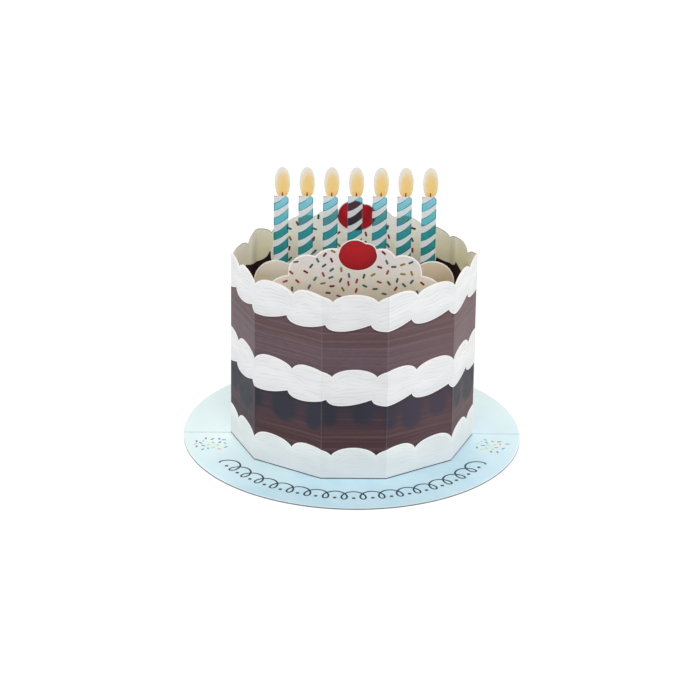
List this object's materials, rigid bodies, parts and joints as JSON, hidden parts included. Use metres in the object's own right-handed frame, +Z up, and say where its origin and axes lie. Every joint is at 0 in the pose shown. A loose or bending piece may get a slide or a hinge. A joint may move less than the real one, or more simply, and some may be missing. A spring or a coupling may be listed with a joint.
{
  "type": "pop up card",
  "caption": "Pop up greeting card: a faceted card cake with a scalloped top, frosting sheets and a film of candles standing on a round folded base",
  "frame": {"origin": "centre of the underside of the round base card", "axes": "+X to the right along the score line of the base, +Y to the back, +Z up"},
  "size_m": [0.152, 0.152, 0.1296],
  "materials": {
    "base_board": "smooth satin",
    "printed_card": "smooth printed",
    "frosting_card": "smooth printed",
    "plain_card": "matte",
    "clear_film": "printed clear film"
  },
  "bodies": {
    "root": {"base_card": "base_board", "front_wall": "printed_card", "back_wall": "printed_card", "front_mound": "frosting_card", "candle_mound": "frosting_card", "back_mound": "frosting_card", "candle_film": "clear_film", "spacer_1_left": "plain_card", "spacer_1_right": "plain_card", "spacer_2_left": "plain_card", "spacer_2_right": "plain_card", "spacer_3_left": "plain_card", "spacer_3_right": "plain_card", "spacer_4_left": "plain_card", "spacer_4_right": "plain_card"}
  },
  "joints": []
}
